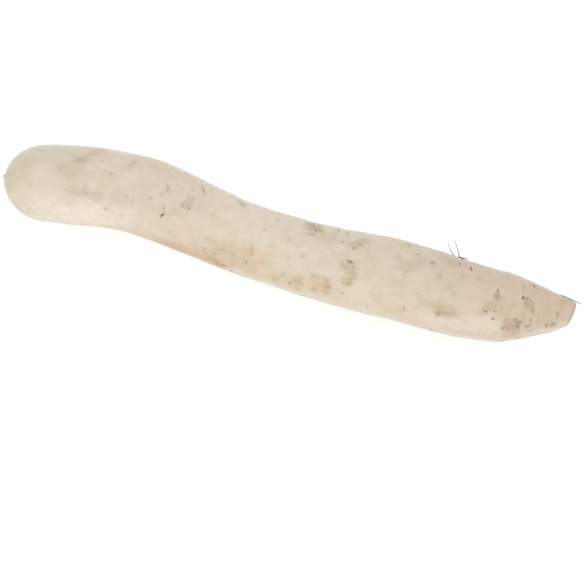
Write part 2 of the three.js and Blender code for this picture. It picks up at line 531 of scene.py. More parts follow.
# The small marks on the same side: along, turn, length, width, lean and tone.
SCARS: dict[Trace, list[tuple[float, ...]]] = {
    Trace.SLIT: [
        (24.3, 40, 2.2, 1.3, 90, 0.32),
        (48.2, 39, 2.8, 1.6, 15, 0.3),
        (59.3, -26.5, 1.8, 1, 60, 0.38),
        (61, -20, 2, 1.3, 60, 0.62),
        (62.7, 43, 3.2, 1.2, 5, 0.28),
        (63.5, -22, 2.5, 1.2, -10, 0.56),
        (69.2, -10, 1.9, 1, 80, 0.5),
        (77.3, 9, 3.8, 1.6, 0, 0.4),
        (84.3, -3.5, 3, 1, 60, 0.4),
        (92.5, 69, 4, 1.8, 0, 0.22),
        (102, 61.5, 4, 2.2, 0, 0.2),
        (103.7, -25, 2.5, 1.9, 0, 0.44),
        (110, 28, 4.2, 1.6, -15, 0.38),
        (115.5, 21, 1.6, 1.2, 0, 0.26),
        (117, 17, 3, 1.9, -10, 0.34),
        (118.3, 6, 6, 2, 67, 0.42),
        (119.5, 42.7, 1.4, 1, 0, 0.3),
        (121.8, 45, 4, 1.2, 110, 1.2),
        (123.6, 41.5, 2.2, 1.3, -40, 0.42),
        (126.8, -5, 2, 1.1, 70, 0.26),
        (132.4, 22, 2, 1.2, 60, 0.5),
        (132.6, 18, 1.9, 1.3, 50, 0.65),
        (133, -11, 1.7, 1.4, 0, 0.52),
        (133.3, 6, 4, 0.9, 70, 0.36),
        (137.5, -24.5, 2.6, 1.5, 60, 0.5),
        (137.5, 20, 2.5, 1, -20, 0.62),
        (139.8, -19.5, 6, 1.5, 50, 0.64),
        (144.3, -31, 4, 1.6, 90, 0.22),
        (147.5, 9, 3, 1.2, 60, 0.18),
        (153.7, 12.5, 1.8, 1.5, 0, 0.24),
        (156.3, 69.3, 2.7, 1.7, 0, 0.62),
        (156.3, 75.5, 1.9, 1.2, -40, 0.68),
        (157.5, 50, 6, 1.5, -20, 0.24),
        (158.8, 75, 2.5, 1.9, 0, 0.42),
        (163.3, 70.5, 2.6, 1.1, 110, 0.68),
        (165, -38, 3, 1.3, 60, 0.32),
        (165, 71.5, 1.7, 0.9, 100, 0.62),
        (167.5, 94, 3.2, 1.9, 60, 0.64),
        (167.7, 60.5, 2.6, 1.2, -20, 0.45),
        (168.9, -29.5, 2.8, 1.9, 70, 0.64),
        (171, 90, 3, 1.9, 0, 0.4),
        (171.5, 59, 4.4, 1.4, -12, 0.32),
        (177, 61.5, 3, 2.2, 0, 0.35),
        (186.2, 66, 2.9, 1.3, 90, 0.62),
        (192.4, 4.3, 1.9, 1.6, 0, 0.4),
        (195.7, 3, 6, 1.1, 85, 0.22),
        (197, -23, 3.4, 1.9, 75, 0.34),
        (206.5, 83, 3, 1.9, -30, 0.26),
        (211.2, 61.5, 1.9, 0.8, -20, 0.28),
        (211.5, 66.5, 2.6, 1.4, -35, 0.44),
        (213.3, 37, 2, 1.9, 0, 0.18),
        (216.9, 78.2, 2.3, 1.9, 0, 0.8),
        (217, -38, 4, 1, 65, 0.46),
        (219, -22, 3, 1.3, 20, 0.36),
        (220, -33, 4.5, 1, 70, 0.52),
        (222, -31, 5, 1.3, 75, 0.66),
        (223.7, -10.5, 5, 1.5, -27, 0.38),
        (224.3, -23, 4, 1.4, 65, 0.7),
        (226.5, -29, 4, 1, 65, 0.52),
        (228, -25, 2, 1.2, 0, 0.36),
        (238.8, -36, 5, 1.3, 70, 0.56),
        (243.4, 64.5, 2, 1.6, 0, 0.5),
        (245.4, -9.5, 2, 1.3, -20, 0.64),
        (245.9, -32, 7, 1.2, 74, 0.62),
        (246.7, -27, 2, 1.5, 0, 0.62),
        (252, 17.3, 1.8, 1.3, 0, 0.5),
        (253.1, 69.2, 2.4, 1.9, 0, 0.44),
        (253.8, -2.5, 1.9, 1.4, 0, 0.58),
        (254.5, 19.3, 3.2, 2.1, 20, 0.88),
        (256.4, 25.3, 2.4, 1.4, 70, 0.44),
        (257, -11.3, 2, 1.8, 0, 0.52),
        (265.4, 20, 3, 1.1, 85, 0.2),
        (269.8, 17, 3, 1.1, 75, 0.22),
        (270.2, 84, 6, 1, 88, 0.3),
        (272, 56, 2, 1.5, 0, 0.22),
        (278.3, 55.7, 1.9, 1.6, 0, 0.32),
        (286.3, -38, 3, 1, 60, 0.46),
        (287.6, -33, 4, 1.2, -65, 0.64),
        (292, -38, 2.2, 1.6, 0, 0.4),
        (294.6, -18.5, 2.7, 1.8, 0, 0.48),
        (295.2, 67, 3.2, 1.7, 70, 0.46),
        (302.3, 41, 2.2, 1.1, -20, 0.38),
        (305.8, -9, 1.9, 1.5, 0, 0.86),
        (306.7, -12.6, 1.9, 1.3, 60, 0.86),
        (307.6, -6, 2.4, 0.9, 60, 0.4),
        (319.4, 60.8, 2.6, 1.5, 60, 0.35),
        (322.2, -28, 5, 1.3, 73, 0.92),
        (323.5, -45, 5, 2.6, 80, 0.5),
        (325, 57, 2.4, 1.8, 0, 0.3),
        (325.5, 41.7, 1.4, 1, 0, 0.3),
        (327, -8, 5, 0.7, 70, 0.3),
        (328, -3, 4, 0.7, 70, 0.26),
        (330, -7, 6, 0.7, -20, 0.26),
        (331.9, -24.5, 4.6, 1.5, 66, 1.0),
        (335.3, 95, 1.8, 1.4, 0, 0.32),
        (345.6, 80, 3, 1, 85, 0.26),
        (346.6, 41.3, 2.5, 1.3, -8, 0.88),
        (349, 37.5, 1.3, 1.1, 0, 0.42),
        (352.2, 4.5, 2.8, 1.3, 88, 0.88),
        (352.3, 51, 1.8, 1.5, 0, 0.92),
        (352.6, 38.5, 1.5, 1.2, 0, 0.68),
        (356.7, 33, 3, 0.9, 90, 0.48),
        (357.8, -40, 2, 1.4, 60, 0.28),
        (359.5, 67.5, 2.7, 1.3, -70, 0.72),
        (362.5, 68.5, 1.7, 1, 90, 0.38),
        (364.5, 22, 2.4, 1.1, -30, 0.32),
        (366, 48.5, 1.6, 1.4, 0, 0.78),
        (368.2, -17, 4, 1.1, 85, 0.44),
        (368.6, 63, 6.2, 1.1, 68, 0.78),
        (368.8, 53.5, 3.2, 1.5, -20, 0.56),
        (369, 6, 2.4, 1.3, 85, 1.05),
        (370, 97, 2.4, 1.2, 60, 0.42),
        (371.8, 5.5, 2.1, 1.8, 0, 0.56),
        (373.5, 63, 3, 1.2, 85, 0.76),
        (374.5, 8.5, 3.4, 1.2, 50, 0.44),
        (375.2, 61, 2, 0.9, 85, 0.52),
        (375.5, -32, 4, 1.4, 85, 0.5),
        (376, 15, 4, 1.1, 80, 0.38),
        (376, 50, 4, 1.1, 85, 0.7),
        (376.3, 29.5, 3.4, 1.7, 80, 0.5),
        (376.3, 78, 1.8, 1.1, 0, 0.42),
        (376.5, 23, 4, 1, 88, 0.32),
        (381, 49.5, 3, 1, 88, 0.36),
        (381.5, 63, 2.4, 1, 88, 0.28),
        (386.8, 66, 3.8, 1.2, 85, 0.78),
        (389.8, 69, 2.4, 1, 85, 0.42),
        (390.8, 60, 1.9, 1.1, 85, 0.52),
        (391.6, 66.5, 4.4, 1.1, 85, 0.74),
        (393.7, 32, 3, 1.2, 85, 0.52),
    ],
    Trace.RING: [
        (24.9, 83.5, 4, 2.4, 90, 0.5),
        (376.3, 71.5, 4.2, 2.2, 80, 0.74),
    ],
    Trace.NUB: [
        (176.8, 99.5, 1.8, 1.6, 0, 1.0),
        (352, 106, 3, 2, 80, 0.2),
        (361, 104, 2.4, 2, 80, 0.3),
        (369, 103, 2.6, 1.8, 80, 0.3),
        (378, 100, 2.4, 1.6, 80, 0.2),
        (317, 100, 2.4, 1, 70, 0.55),
    ],
}


@dataclass(frozen=True)
class Bulge:
    """A low, broad bump or hollow, placed and sized as a patch is."""

    along: float
    turn: float
    length: float
    width: float
    height: float  # below 0 for a hollow
    lean: float = 0.0


# Where the root grew a little thicker or thinner than its even shape.
BULGES: list[Bulge] = [
    Bulge(36, 110, 40, 30, 0.8),
    Bulge(50, -55, 34, 34, 1.0),
    Bulge(100, -52, 20, 24, 0.6),
    Bulge(131, -52, 18, 24, 0.5),
    Bulge(166, -50, 16, 24, -0.8),
    Bulge(206, -55, 34, 24, 0.6),
    Bulge(243, -50, 12, 20, -0.5),
    Bulge(273, -50, 26, 24, 0.8),
    Bulge(360, -48, 26, 24, 0.7),
    Bulge(358, 105, 9, 18, 0.8),
    Bulge(381, 95, 14, 20, -1.8),
    Bulge(397, -55, 12, 20, -0.1),
]


@dataclass
class Markings:
    """Every patch and scar on the root: those listed, and more on the hidden sides."""

    length: float  # of the root, in millimetres
    hidden_patches: int = 12  # of each kind of stain
    hidden_scars: int = 75
    crown_clear: float = 30.0  # the hidden marks keep this far from the crown
    tail_clear: float = 18.0  # and from the tail
    hidden_turns: tuple[float, float] = (112.0, 310.0)  # from under the front to up the back
    crowding: float = 0.75  # under 1, more of them lie near the tail
    seed: int = 11
    patches: dict[Stain, list[Patch]] = field(init=False)
    scars: list[Scar] = field(init=False)

    def __post_init__(self) -> None:
        """Lists the marks."""
        dice = random.Random(self.seed)
        self.patches = {
            stain: [Patch(*row) for row in rows] + [self._patch(dice) for _ in range(self.hidden_patches)]
            for stain, rows in PATCHES.items()
        }
        placed = [Scar(*row, trace) for trace, rows in SCARS.items() for row in rows]
        self.scars = placed + [self._scar(dice) for _ in range(self.hidden_scars)]

    def _place(self, dice: random.Random) -> tuple[float, float]:
        """Picks a place on the back or the underside.

        Args:
            dice: the seeded random numbers.

        Returns:
            How far along it is, and its turn.
        """
        share = dice.random() ** self.crowding
        reach = self.length - self.crown_clear - self.tail_clear
        return self.crown_clear + reach * share, dice.uniform(*self.hidden_turns)

    def _patch(self, dice: random.Random) -> Patch:
        """Makes up one patch on a hidden side.

        Args:
            dice: the seeded random numbers.

        Returns:
            The patch.
        """
        size, flat = dice.uniform(2.0, 4.8) ** 2, dice.uniform(0.3, 0.8)
        lean, strength = dice.uniform(-40, 90), dice.uniform(0.1, 0.42)
        place = self._place(dice)
        return Patch(*place, size, size * flat, lean, strength, softness=dice.uniform(0.4, 0.9))

    def _scar(self, dice: random.Random) -> Scar:
        """Makes up one slit on a hidden side. Most run round the root.

        Args:
            dice: the seeded random numbers.

        Returns:
            The slit.
        """
        length, width = dice.uniform(1.5, 5.0), dice.uniform(0.9, 1.7)
        place, lean = self._place(dice), dice.gauss(80, 25)
        return Scar(*place, length, width, lean, tone=dice.uniform(0.2, 0.85))


@dataclass
class Surface:
    """The refined root's vertices, with where each one is on the root, in millimetres."""

    points: np.ndarray
    normals: np.ndarray
    along: np.ndarray
    front: np.ndarray
    up: np.ndarray

    @classmethod
    def of(cls, mesh: bpy.types.Mesh, spine: Spine) -> "Surface":
        """Reads a mesh.

        Args:
            mesh: the refined root.
            spine: its middle line.

        Returns:
            The surface.
        """
        points = np.empty(len(mesh.vertices) * 3)
        mesh.vertices.foreach_get("co", points)
        points = points.reshape(-1, 3) / MM
        normals = np.array([n.vector for n in mesh.vertex_normals])
        return cls(points, normals, *spine.locate(points))

    @property
    def radius(self) -> np.ndarray:
        """The distance of each vertex from the spine."""
        return np.hypot(self.front, self.up)

    @property
    def turn(self) -> np.ndarray:
        """The turn of each vertex round the spine, in radians."""
        return np.arctan2(self.front, self.up)

    def offsets(self, mark: "Patch | Scar | Bulge") -> tuple[np.ndarray, np.ndarray]:
        """Where each vertex is from a mark's middle.

        Args:
            mark: the patch, scar or bulge.

        Returns:
            The distances along the mark's length and across it, in millimetres.
        """
        swing = (self.turn - math.radians(mark.turn) + math.pi) % (2 * math.pi) - math.pi
        ahead, round_it = self.along - mark.along, swing * self.radius
        lean = math.radians(mark.lean)
        lengthwise = ahead * math.cos(lean) + round_it * math.sin(lean)
        return lengthwise, round_it * math.cos(lean) - ahead * math.sin(lean)

    def distance(self, mark: "Patch | Scar | Bulge", margin: float = 0.0) -> np.ndarray:
        """How far each vertex is from a mark's middle: 1 is its edge, moved out by a margin."""
        lengthwise, crosswise = self.offsets(mark)
        return np.hypot(lengthwise / (mark.length / 2 + margin), crosswise / (mark.width / 2 + margin))


GOLDEN_ANGLE = math.pi * (3 - math.sqrt(5))  # leaves grow this far round from one another


@dataclass
class Crown:
    """The scar on the shoulder where the leaves were trimmed off, in millimetres."""

    surface: Surface
    reach: tuple[float, float] = (4.0, 6.0)  # the scar fades out between these distances along
    aside: float = 4.5  # the scar's middle is this far to the front of the spine's end
    radius: float = 4.2
    edge: float = 0.3  # half the width over which it turns to skin
    dome: float = 0.8  # the knife took this much off the middle, and left the scar flat
    leaves: int = 24
    spread: float = 0.92  # the outermost leaf's place, as a share of the radius
    leaf_size: float = 0.95  # how far out the groove round a leaf's base is
    youngest: float = 0.6  # the size of the middle leaf, as a share of that
    growth: float = 0.46  # how much larger a share the outermost one has
    bulge: float = 0.62  # the width of a base's rounded top, as a share of its size
    groove: float = 0.35  # the groove's width
    groove_share: float = 0.6  # its depth, as a share of the base's height
    depth: float = 0.3
    collar: float = 0.35  # the rim round the scar stands out this far
    collar_width: float = 0.55
    stalk_gap: float = 5.4  # between the two leaf stalks that the knife left longest
    stalk_lean: float = 30.0  # the line between them, in degrees above level
    stalk_size: float = 1.1
    stalk_heights: tuple[float, float] = (1.75, 1.2)  # the back one and the front one
    paler: float = 0.55  # how much less brown the leaf bases are than the grooves between them
    rim_tone: float = 0.3  # how dark the rim is
    blotches: Grain = Grain(1.5, 3.3, 0.2)  # and where it is darker and lighter
    disc: np.ndarray = field(init=False)  # 1 on the scar and 0 on the skin
    rim: np.ndarray = field(init=False)  # 1 on the collar and 0 away from it
    bases: np.ndarray = field(init=False)  # 1 on a leaf's base, and below 0 in the groove round it
    stalks: np.ndarray = field(init=False)  # how high the two longest stalks are, in millimetres

    def __post_init__(self) -> None:
        """Finds the parts of the scar."""
        top = smooth(self.reach[1], self.reach[0], self.surface.along)
        away = self._gap(0.0, 0.0)
        self.disc = top * smooth(self.radius + self.edge, self.radius - self.edge, away)
        self.rim = top * hump(away, self.radius, self.collar_width)
        self.bases = sum(self._base(i) for i in range(self.leaves))
        lean, half = math.radians(self.stalk_lean), self.stalk_gap / 2
        front, up = half * math.cos(lean), -half * math.sin(lean)
        self.stalks = top * sum(
            height * np.exp(-((self._gap(side * front, side * up) / self.stalk_size) ** 4))
            for side, height in zip((-1, 1), self.stalk_heights)
        )

    def _gap(self, front: float, up: float) -> np.ndarray:
        """How far each vertex is from a place on the scar, measured from its middle."""
        return np.hypot(self.surface.front - self.aside - front, self.surface.up - up)

    def _base(self, number: int) -> np.ndarray:
        """Raises one leaf's base. Each sits further round than the last, and further out.

        Args:
            number: the leaf's, counted outwards from the middle.

        Returns:
            1 on the base, and below 0 in the groove round it, for each vertex.
        """
        angle = number * GOLDEN_ANGLE
        share = math.sqrt((number + 0.5) / self.leaves)
        away = self.spread * share * self.radius
        gap = self._gap(away * math.cos(angle), away * math.sin(angle))
        size = self.leaf_size * (self.youngest + self.growth * share)
        return hump(gap, 0.0, self.bulge * size) - self.groove_share * hump(gap, size, self.groove)

    def relief(self) -> np.ndarray:
        """How far the scar's leaf bases, stalks and rim stand out.

        Returns:
            Millimetres for each vertex.
        """
        flat = self.dome * (1 - (self._gap(0.0, 0.0) / self.radius) ** 2)
        scar = self.depth * (np.clip(self.bases, -1, 1) - 0.5) - flat
        return self.disc * scar + self.collar * self.rim + self.stalks

    def mask(self) -> np.ndarray:
        """How brown the scar is: most in the grooves, least on the leaf bases."""
        return self.disc * (1 - self.paler * smooth(-0.2, 0.7, self.bases))

    def dark(self) -> np.ndarray:
        """1 on the stalks, which have dried nearly black, and less on the rim."""
        rim = self.rim * (self.rim_tone + self.blotches.at(self.surface.points))
        return np.maximum(smooth(0.1, 0.6, self.stalks), rim)


@dataclass
class CutTail:
    """The face left where the thin end was cut off, found on the root, in millimetres."""

    surface: Surface
    length: float  # of the whole root
    reach: float = 12.0  # the face lies within this of the tail's tip
    square_on: float = 0.85  # its middle's normals lie along the root by at least this
    facing: tuple[float, float] = (0.8, 0.93)  # and it ends where they have turned away
    drying: float = 2.6  # the skin has dried for this far round it
    ring: float = 0.72  # the vessel ring's radius, as a share of the face's
    ring_width: float = 0.06
    ring_depth: float = 0.2
    edge: tuple[float, float] = (0.9, 1.02)  # the brown edge begins and ends here, as shares too
    fibres: int = 30
    fibres_from: tuple[float, float] = (0.12, 0.4)  # they fade in over this stretch
    fibres_to: tuple[float, float] = (1.0, 0.8)  # and out over this one
    fibre_depth: float = 0.09
    crack: tuple[float, float] = (0.35, 1.6)  # in the middle: half its width and length
    crack_depth: float = 0.9
    ring_tone: float = 0.7  # how brown the ring is, then the edge and the crack
    edge_tone: float = 0.8
    crack_tone: float = 1.3
    wander: Grain = Grain(3.0, 5.1)  # where the face is uneven, and the fibres stray
    wander_depth: float = 0.12
    stray: float = 3.0  # how far the fibres stray, in radians of their wave
    mask: np.ndarray = field(init=False)  # 1 on the cut face and 0 on the skin
    dried: np.ndarray = field(init=False)  # 1 on the skin that has dried round the cut
    share: np.ndarray = field(init=False)  # 0 in the middle of the face and 1 at its edge
    turn: np.ndarray = field(init=False)  # round the face, in radians
    gap: np.ndarray = field(init=False)  # 1 at the end of the crack, and more away from it

    def __post_init__(self) -> None:
        """Finds the face."""
        normals, points = self.surface.normals, self.surface.points
        near = self.surface.along > self.length - self.reach
        square = near & (normals[:, 0] > self.square_on)
        facing = normals[square].mean(0)
        facing /= np.linalg.norm(facing)
        self.mask = near * smooth(*self.facing, normals @ facing)
        sideways = np.cross((0.0, 0.0, 1.0), facing)
        sideways /= np.linalg.norm(sideways)
        offset = points - points[square].mean(0)
        across, upwards = offset @ sideways, offset @ np.cross(facing, sideways)
        away = np.hypot(across, upwards)
        self.share = away / away[square].max()
        self.turn = np.arctan2(across, upwards)
        self.gap = np.hypot(across / self.crack[0], upwards / self.crack[1])
        self.dried = near * (1 - self.mask) * smooth(self.drying, 0.4, offset @ -facing)

    def vessels(self) -> np.ndarray:
        """How brown the vessel ring, the dried edge and the crack in the middle are.

        Returns:
            A share for each vertex.
        """
        ring = self.ring_tone * hump(self.share, self.ring, self.ring_width)
        edge = self.edge_tone * smooth(*self.edge, self.share)
        return self.mask * np.clip(ring + edge + self.crack_tone * hump(self.gap), 0, 1)

    def relief(self) -> np.ndarray:
        """How far the fibres and rings of the cut stand out.

        Returns:
            Millimetres for each vertex.
        """
        wander = self.wander.at(self.surface.points)
        fibres = np.sin(self.fibres * self.turn + self.stray * wander)
        fibres *= smooth(*self.fibres_from, self.share) * smooth(*self.fibres_to, self.share)
        ring = hump(self.share, self.ring, self.ring_width)
        total = self.fibre_depth * fibres - self.ring_depth * ring
        return self.mask * (total - self.crack_depth * hump(self.gap) + self.wander_depth * wander)


@dataclass(frozen=True)
class Lumps:
    """Soft noise that decides where a layer of colour shows."""

    size: Width  # of its lumps, in millimetres
    low: float  # the layer is at its least where the noise is below this
    high: float  # and at its most above this, or the other way round if this is the smaller
    detail: float = 2.0  # how many finer layers the noise has
    least: float = 0.0
    most: float = 1.0
    eased: bool = True  # whether it goes up gently at both ends


@dataclass(frozen=True)
class Layer:
    """One thin layer of colour. Its noise and its attribute, where it has them, thin it out."""

    colour: str
    strength: float = 1.0
    lumps: Lumps | None = None
    attribute: str | None = None  # one of the mesh's own values
    ends: tuple[float, float] | None = None  # the attribute's values that count as 0 and as 1
    deep: tuple[float, float] | None = None  # the same, for the noise times the attribute


class Paint:
    """A new material, made of layers of colour. Its patterns follow the piece's own place."""

    def __init__(self, name: str, colour: str) -> None:
        """Starts the material.

        Args:
            name: what it is called.
            colour: its lowest layer.
        """
        self.material = bpy.data.materials.new(name)
        self.material.use_nodes = True
        self.tree = self.material.node_tree
        self.tree.nodes.clear()
        self.tint: Socket | Colour = linear(colour)
        self.patterns: dict[tuple[Width, float], Socket] = {}

    @cached_property
    def place(self) -> Socket:
        """Object coordinates."""
        return add_node(self.tree, "TexCoord").outputs["Object"]

    def pattern(self, size: Width, detail: float = 2.0) -> Socket:
        """Soft noise, the same one each time that it is asked for.

        Args:
            size: the width of its lumps, in millimetres.
            detail: how many finer layers it has.

        Returns:
            Its value, about 0.5 on average.
        """
        if (size, detail) not in self.patterns:
            widths = size if isinstance(size, tuple) else (size,) * 3
            scale = tuple(1 / (width * MM) for width in widths)
            scaled = add_node(self.tree, "Mapping", {"Vector": self.place, "Scale": scale}).outputs[0]
            inputs = {"Vector": scaled, "Scale": 1.0, "Detail": detail, "Distortion": 0.4}
            self.patterns[size, detail] = add_node(self.tree, "TexNoise", inputs).outputs["Fac"]
        return self.patterns[size, detail]

    def lay(self, layer: Layer) -> None:
        """Lays one layer over the ones before it.

        Args:
            layer: its colour, and where it shows.
        """
        tree, lumps, share = self.tree, layer.lumps, 1.0
        if layer.attribute:
            share = add_node(tree, "Attribute", attribute_name=layer.attribute).outputs["Fac"]
        if layer.ends:
            inputs = {"Value": share, "From Min": layer.ends[0], "From Max": layer.ends[1]}
            share = add_node(tree, "MapRange", inputs, interpolation_type="SMOOTHSTEP").outputs[0]
        if lumps:
            inputs = {"Value": self.pattern(lumps.size, lumps.detail), "From Min": lumps.low}
            inputs |= {"From Max": lumps.high, "To Min": lumps.least, "To Max": lumps.most}
            rise = "SMOOTHSTEP" if lumps.eased else "LINEAR"
            shown = add_node(tree, "MapRange", inputs, interpolation_type=rise).outputs[0]
            share = add_node(tree, "Math", {0: shown, 1: share}, operation="MULTIPLY").outputs[0]
        if layer.deep:
            inputs = {"Value": share, "From Min": layer.deep[0], "From Max": layer.deep[1]}
            share = add_node(tree, "MapRange", inputs, interpolation_type="SMOOTHSTEP").outputs[0]
        share = add_node(tree, "Math", {0: share, 1: layer.strength}, operation="MULTIPLY").outputs[0]
        self.cover(layer.colour, share)

    def cover(self, colour: str, share: Socket) -> None:
        """Covers a share of what is there, from 0 to 1, with one colour."""
        inputs = {0: share, 6: self.tint, 7: linear(colour)}  # 6 and 7 are the two colours
        self.tint = add_node(self.tree, "Mix", inputs, data_type="RGBA").outputs[2]

    def finish(self, piece: bpy.types.Object, inputs: dict) -> None:
        """Gives the material its shader, and puts it on a piece.

        Args:
            piece: what it goes on.
            inputs: the shader's other inputs, by name.
        """
        shader = add_node(self.tree, "BsdfPrincipled", {"Base Color": self.tint, **inputs})
        add_node(self.tree, "OutputMaterial", {"Surface": shader.outputs["BSDF"]})
        piece.data.materials.clear()
        piece.data.materials.append(self.material)


# Colours and patterns that more than one layer has. Sizes are in millimetres.
CELADON = "ccc5ae"
SHADE = "c5b9a3"
LIGHT = "dfd8c8"
ROOT_BROWN = "786042"
SOIL = "2b2117"
MOTTLE = 8.0  # skin that is a little paler or darker
DASHES = (0.7, 5.0, 5.0)  # the fine creases that run round the root, drawn a little coarser
RINGS = (1.8, 18.0, 18.0)  # the growth rings, drawn twice as coarse as they are
UNEVEN = Lumps(3.12, 0.3, 0.6, detail=3.0, least=0.6, eased=False)  # inside a stain
BITES = Lumps(0.5, 0.3, 0.7, least=0.6, most=1.3, eased=False)  # out of a scar's edge
SPECKLE = Lumps(0.5, 0.25, 0.6, most=0.85)  # in cut flesh that has browned

# The skin's own colours, and the soft patches on it, some of them painted light and shade, from the lowest
# layer up.
GROWN: list[Layer] = [
    Layer("d2bea6", 0.6, Lumps(36.0, 0.42, 0.68)),  # peach, in broad clouds
    Layer(CELADON, 0.6, Lumps(25.2, 0.5, 0.72)),
    Layer("d4c1b1", 0.5, Lumps(13.0, 0.5, 0.68, detail=3.0)),  # a rosy blush
    Layer(CELADON, 0.5, Lumps(10.4, 0.5, 0.7, detail=3.0)),
    Layer(SHADE, 0.4, Lumps(MOTTLE, 0.5, 0.7, detail=3.0), attribute="along", ends=(0.0, 0.35)),
    Layer(LIGHT, 0.3, Lumps(MOTTLE, 0.46, 0.3, detail=3.0)),
    Layer(SHADE, 0.15, Lumps(2.6, 0.55, 0.75)),
    Layer(SHADE, 0.3, Lumps(DASHES, 0.58, 0.75)),
    Layer(SHADE, 0.12, Lumps(RINGS, 0.58, 0.72)),
    Layer("d2ccb8", 0.6, attribute="along", ends=(0.2, 0.0)),  # greener towards the crown
    Layer("cbb8a3", 0.8, attribute="along", ends=(0.6, 0.97)),  # and browner towards the tail
    *(Layer(stain.value, lumps=UNEVEN, attribute=stain.attribute) for stain in Stain),
]

# The marks that side roots left: brown, near black in the deepest, with a painted highlight on their
# raised lips, and pale middles in the rings. Then the trimmed crown, and the cut tail with its dried edge
# and its vessel ring.
MARKED: list[Layer] = [
    # Painted highlight on the raised lips of the deepest slits, and the pale middles of rings.
    Layer(LIGHT, attribute="lit_lips_and_pale_middles"),
    Layer(ROOT_BROWN, 0.58, BITES, attribute="scar"),
    Layer(SOIL, 0.6, BITES, attribute="scar", deep=(0.8, 1.2)),
    Layer("84765a", lumps=SPECKLE, attribute="crown_scar"),
    Layer(SOIL, attribute="crown_dark"),
    Layer("a29a94", 0.55, attribute="dried"),
    Layer("d8cab4", attribute="flesh"),
    Layer("a58a6a", lumps=SPECKLE, attribute="vessels"),
]


@dataclass(frozen=True)
class RawSkin:
    """Raw white radish skin over wet flesh, washed: a thin waxy film, half matt.

    Light goes a few millimetres in before it comes out, which gives the eye soft shading
    and creamy shadows. Tints are faint and broad, and the marks in it are small and brown.
    """

    cream: str = "d6c9b6"
    roughness: float = 0.39  # where the wax is whole
    rubbed: float = 0.22  # how much duller it is where soil rubbed the wax off
    rubbed_size: float = 6.0  # of the rubbed places, in millimetres
    subsurface: float = 0.2
    depth: float = 2.6  # how far light goes in, in millimetres
    bloom: float = 0.3  # the pale film of wax that shows towards the edges
    bloom_tint: str = "e0e4ec"
    speck_cell: float = 6.0  # one speck of soil or less to a cell of this size, in millimetres
    speck_luck: float = 0.55  # a cell whose luck, from 0 to 1, is less than this has none
    speck_size: float = 0.1  # of the largest, as a share of a cell
    speck_edge: float = 0.05  # over which it fades, as a share too
    speck_tone: float = 0.5  # of the darkest
    pore: float = 0.7  # the skin's own fine grain, drawn about twice as coarse as it is
    crease: float = 1.6  # how much deeper the fine creases are than the pores
    grain_depth: float = 0.18  # of the pores, in millimetres

    def dress(self, piece: bpy.types.Object) -> None:
        """Makes the material and puts it on a piece.

        Args:
            piece: the root, with the attributes that RadishRoot writes.
        """
        paint = Paint("raw_radish_skin", self.cream)
        for layer in GROWN:
            paint.lay(layer)
        self._specks(paint)
        for layer in MARKED:
            paint.lay(layer)
        inputs = {
            "Roughness": self._gloss(paint),
            "Normal": self._bump(paint),
            "IOR": 1.42,
            "Subsurface Weight": self.subsurface,
            "Subsurface Radius": (1.0, 0.72, 0.5),  # red light goes furthest in
            "Subsurface Scale": self.depth * MM,
            "Sheen Weight": self.bloom,
            "Sheen Roughness": 0.3,
            "Sheen Tint": linear(self.bloom_tint),
        }
        paint.finish(piece, inputs)

    def _specks(self, paint: Paint) -> None:
        """Lays grains of soil, left in the pores. A cell's own luck gives one its size and tone.

        Args:
            paint: the material, with the stains on it.
        """
        tree, soft = paint.tree, {"interpolation_type": "SMOOTHSTEP"}
        inputs = {"Vector": paint.place, "Scale": 1 / (self.speck_cell * MM), "Randomness": 1.0}
        cells = add_node(tree, "TexVoronoi", inputs).outputs
        luck = add_node(tree, "SeparateColor", {"Color": cells["Color"]}).outputs
        inputs = {"Value": luck[0], "From Min": self.speck_luck, "To Max": self.speck_size}
        size = add_node(tree, "MapRange", inputs, **soft).outputs[0]
        gap = add_node(tree, "Math", {0: size, 1: cells["Distance"]}, operation="SUBTRACT").outputs[0]
        inputs = {"Value": gap, "From Max": self.speck_edge}
        inside = add_node(tree, "MapRange", inputs, **soft).outputs[0]
        inputs = {"Value": luck[1], "From Min": 0.2, "To Max": self.speck_tone}
        tone = add_node(tree, "MapRange", inputs, **soft).outputs[0]
        share = add_node(tree, "Math", {0: inside, 1: tone}, operation="MULTIPLY").outputs[0]
        paint.cover(ROOT_BROWN, share)

    def _gloss(self, paint: Paint) -> Socket:
        """Roughness: duller where soil rubbed the wax off."""
        inputs = {0: paint.pattern(self.rubbed_size, 3.0), 1: self.rubbed, 2: self.roughness}
        return add_node(paint.tree, "Math", inputs, operation="MULTIPLY_ADD").outputs[0]

    def _bump(self, paint: Paint) -> Socket:
        """The grain that is finer than the mesh: pores, and the fine creases.

        Args:
            paint: the material.

        Returns:
            The shader's normal.
        """
        inputs = {0: paint.pattern(DASHES), 1: -self.crease, 2: paint.pattern(self.pore)}
        height = add_node(paint.tree, "Math", inputs, operation="MULTIPLY_ADD").outputs[0]
        inputs = {"Height": height, "Strength": 0.8, "Distance": self.grain_depth * MM}
        return add_node(paint.tree, "Bump", inputs).outputs["Normal"]


@dataclass(frozen=True)
class DryRoot:
    """A hair root that has dried out: a matt fibre, grey-brown, which looks like a dull thread."""

    colour: str = "554a3c"
    tip: str = "7d7060"
    grain: float = 1.2  # lengths of paler and darker fibre, in millimetres

    def dress(self, piece: bpy.types.Object) -> None:
        """Makes the material and puts it on a piece.

        Args:
            piece: the thread.
        """
        paint = Paint("dry_hair_root", self.colour)
        inputs = {"Vector": paint.place, "Scale": 1 / (self.grain * MM), "Detail": 2.0}
        paint.cover(self.tip, add_node(paint.tree, "TexNoise", inputs).outputs["Fac"])
        paint.finish(piece, {"Roughness": 0.75, "IOR": 1.45})


